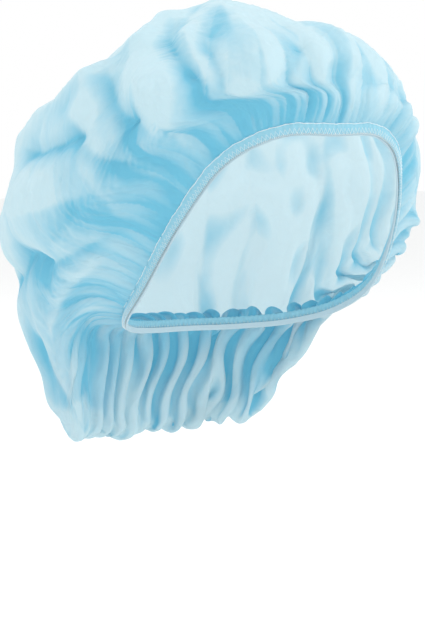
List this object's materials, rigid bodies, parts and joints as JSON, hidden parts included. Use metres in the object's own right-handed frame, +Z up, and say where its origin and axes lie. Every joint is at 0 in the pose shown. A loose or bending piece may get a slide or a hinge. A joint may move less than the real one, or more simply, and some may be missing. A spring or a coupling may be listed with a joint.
{
  "type": "disposable bouffant cap hairnet",
  "caption": "Puffed round cap of thin nonwoven, gathered by an elastic hem that is high on the forehead and low on the nape, held in its worn form.",
  "frame": {"origin": "middle of the head opening, halfway from its front to its nape and from side to side, where a head holds the cap", "axes": "+Z up as worn, -Y towards the wearer's front, +X towards the wearer's left"},
  "size_m": [0.2142, 0.2396, 0.2354],
  "materials": {
    "spunbond_nonwoven": "light blue spunbond polypropylene, thin, matt and slightly see-through",
    "overlocked_nonwoven": "edge of the same nonwoven, folded and overlocked with fine white thread",
    "elastic": "white covered elastic, matt"
  },
  "bodies": {
    "root": {"crown": "spunbond_nonwoven", "hem_band": "overlocked_nonwoven", "elastic": "elastic"}
  },
  "joints": []
}
